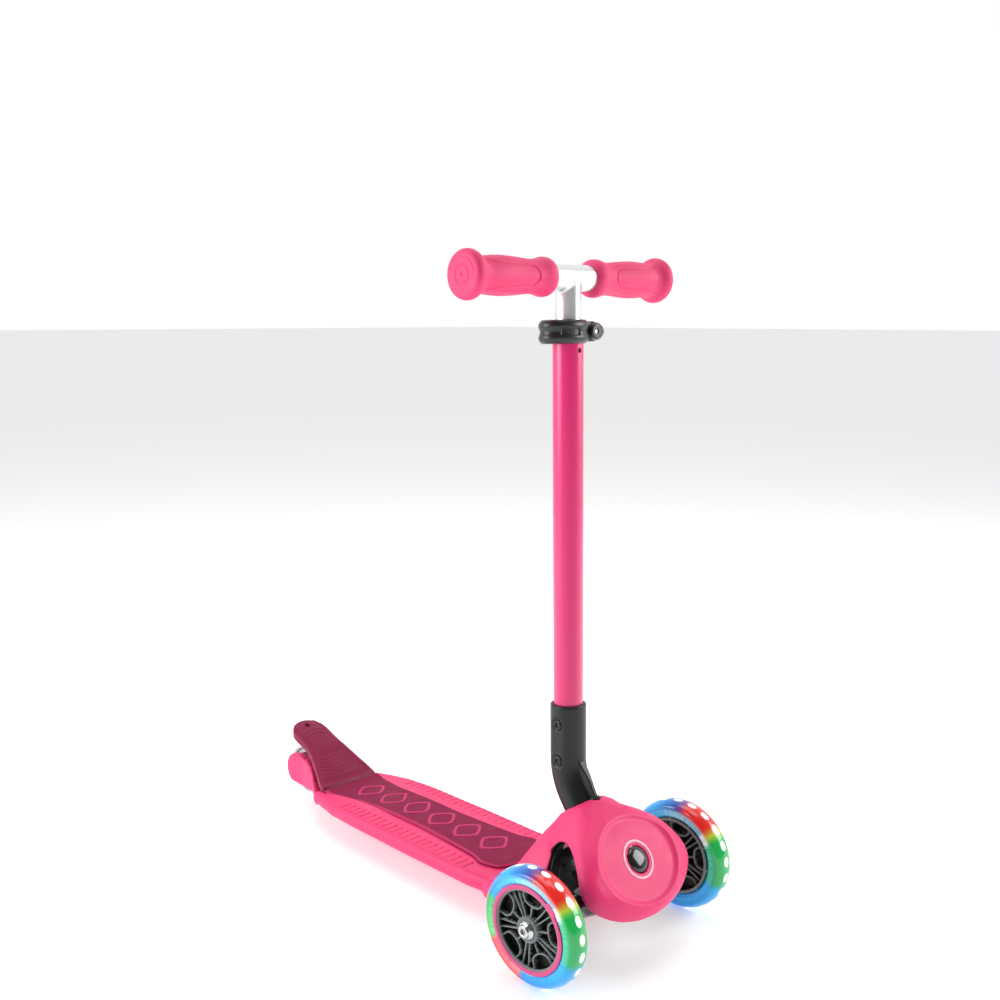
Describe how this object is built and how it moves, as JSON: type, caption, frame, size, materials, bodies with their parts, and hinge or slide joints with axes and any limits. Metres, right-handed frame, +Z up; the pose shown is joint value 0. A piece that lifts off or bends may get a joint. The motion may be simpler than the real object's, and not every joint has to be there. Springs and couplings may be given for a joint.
{
  "type": "kick scooter",
  "caption": "Child's three-wheel kick scooter that steers by leaning, with a folding column, a height-adjustable handlebar and a rear fender brake.",
  "frame": {"origin": "on the floor, on the middle plane, halfway between the foremost and the rearmost point of the wheels", "axes": "+X to the rider's left, -Y forward, +Z up"},
  "size_m": [0.278, 0.6158, 0.6873],
  "materials": {
    "body_plastic": "matte",
    "mat_rubber": "matte",
    "fender_plastic": "satin",
    "black_plastic": "matte",
    "gloss_black": "gloss",
    "satin_black": "satin",
    "pink_paint": "gloss",
    "polished_alloy": "polished",
    "steel": "satin",
    "chrome": "polished",
    "clear_tyre": "gloss",
    "rear_tyre_clear": "gloss",
    "hub_grey": "satin",
    "trim_pink": "gloss",
    "light_silver": "gloss",
    "grip_rubber": "matte",
    "white_plastic": "satin",
    "bush_rubber": "matte"
  },
  "bodies": {
    "deck_frame": {"deck": "body_plastic", "deck_mat": "mat_rubber", "neck_shell": "body_plastic", "nose_hood": "body_plastic", "steering_bracket": "satin_black", "kingpin": "steel", "kingpin_nut": "steel", "steering_bushes": "bush_rubber", "bracket_screws": "steel", "hood_screws": "steel", "pivot_pin": "steel", "button_spring": "steel", "brake_pin": "steel", "brake_spring": "steel", "rear_axle_bolt": "steel", "rear_axle_nut": "steel"},
    "truck": {"truck": "black_plastic", "front_axle_bolts": "chrome", "axle_spacers": "steel"},
    "front_wheel_left": {"left_hub": "hub_grey", "left_tyre": "clear_tyre", "left_trim_ring": "trim_pink", "left_light_ring": "light_silver", "left_bearings": "steel", "left_sleeve": "steel"},
    "front_wheel_right": {"right_hub": "hub_grey", "right_tyre": "clear_tyre", "right_trim_ring": "trim_pink", "right_light_ring": "light_silver", "right_bearings": "steel", "right_sleeve": "steel"},
    "rear_wheel": {"rear_hub": "hub_grey", "rear_tyre": "rear_tyre_clear", "rear_bearings": "steel", "rear_sleeve": "steel"},
    "brake": {"brake_fender": "fender_plastic", "brake_root": "fender_plastic"},
    "fold_button": {"push_button": "gloss_black", "latch_plate": "steel", "latch_pin": "steel"},
    "column": {"elbow": "satin_black", "elbow_screws": "steel", "lower_tube": "pink_paint", "tube_sleeve": "black_plastic", "clamp_collar": "satin_black", "clamp_bolt": "steel", "clamp_nut": "steel"},
    "cam_lever": {"cam_lever": "black_plastic", "cam_pin": "steel"},
    "handlebar": {"handlebar_tube": "polished_alloy", "tube_foot": "white_plastic", "detent_button": "steel", "detent_spring": "steel", "left_grip": "grip_rubber", "right_grip": "grip_rubber", "bar_plugs": "white_plastic"}
  },
  "joints": [
    {"name": "lean_steer", "type": "hinge", "parent": "deck_frame", "child": "truck", "pos_m": [0, -0.24725, 0.0605], "axis": [0, -0.8192, 0.5736], "range_deg": [-15, 15], "stiffness_Nm_per_rad": 60},
    {"name": "front_wheel_left_spin", "type": "hinge", "parent": "truck", "child": "front_wheel_left", "pos_m": [0.11525, -0.24725, 0.0605], "axis": [1, 0, 0], "continuous": true},
    {"name": "front_wheel_right_spin", "type": "hinge", "parent": "truck", "child": "front_wheel_right", "pos_m": [-0.11525, -0.24725, 0.0605], "axis": [1, 0, 0], "continuous": true},
    {"name": "rear_wheel_spin", "type": "hinge", "parent": "deck_frame", "child": "rear_wheel", "pos_m": [0, 0.26775, 0.04], "axis": [1, 0, 0], "continuous": true},
    {"name": "brake_press", "type": "hinge", "parent": "deck_frame", "child": "brake", "pos_m": [0, 0.19075, 0.032], "axis": [-1, 0, 0], "range_deg": [0, 2.2], "stiffness_Nm_per_rad": 4, "springref_deg": -5.73},
    {"name": "button_press", "type": "slide", "parent": "deck_frame", "child": "fold_button", "axis": [0, 0.8192, -0.5736], "range_m": [0, 0.005], "stiffness_N_per_m": 1500, "springref_m": -0.004, "deforming": ["button_spring"]},
    {"name": "column_fold", "type": "hinge", "parent": "deck_frame", "child": "column", "pos_m": [0, -0.21365, 0.12243], "axis": [-1, 0, 0], "range_deg": [0, 83]},
    {"name": "clamp_open", "type": "hinge", "parent": "column", "child": "cam_lever", "pos_m": [0.024, -0.15197, 0.61433], "axis": [0, 0.0314, 0.9995], "range_deg": [0, 100]},
    {"name": "bar_height", "type": "slide", "parent": "column", "child": "handlebar", "axis": [0, 0.0314, 0.9995], "range_m": [0, 0.172]}
  ]
}
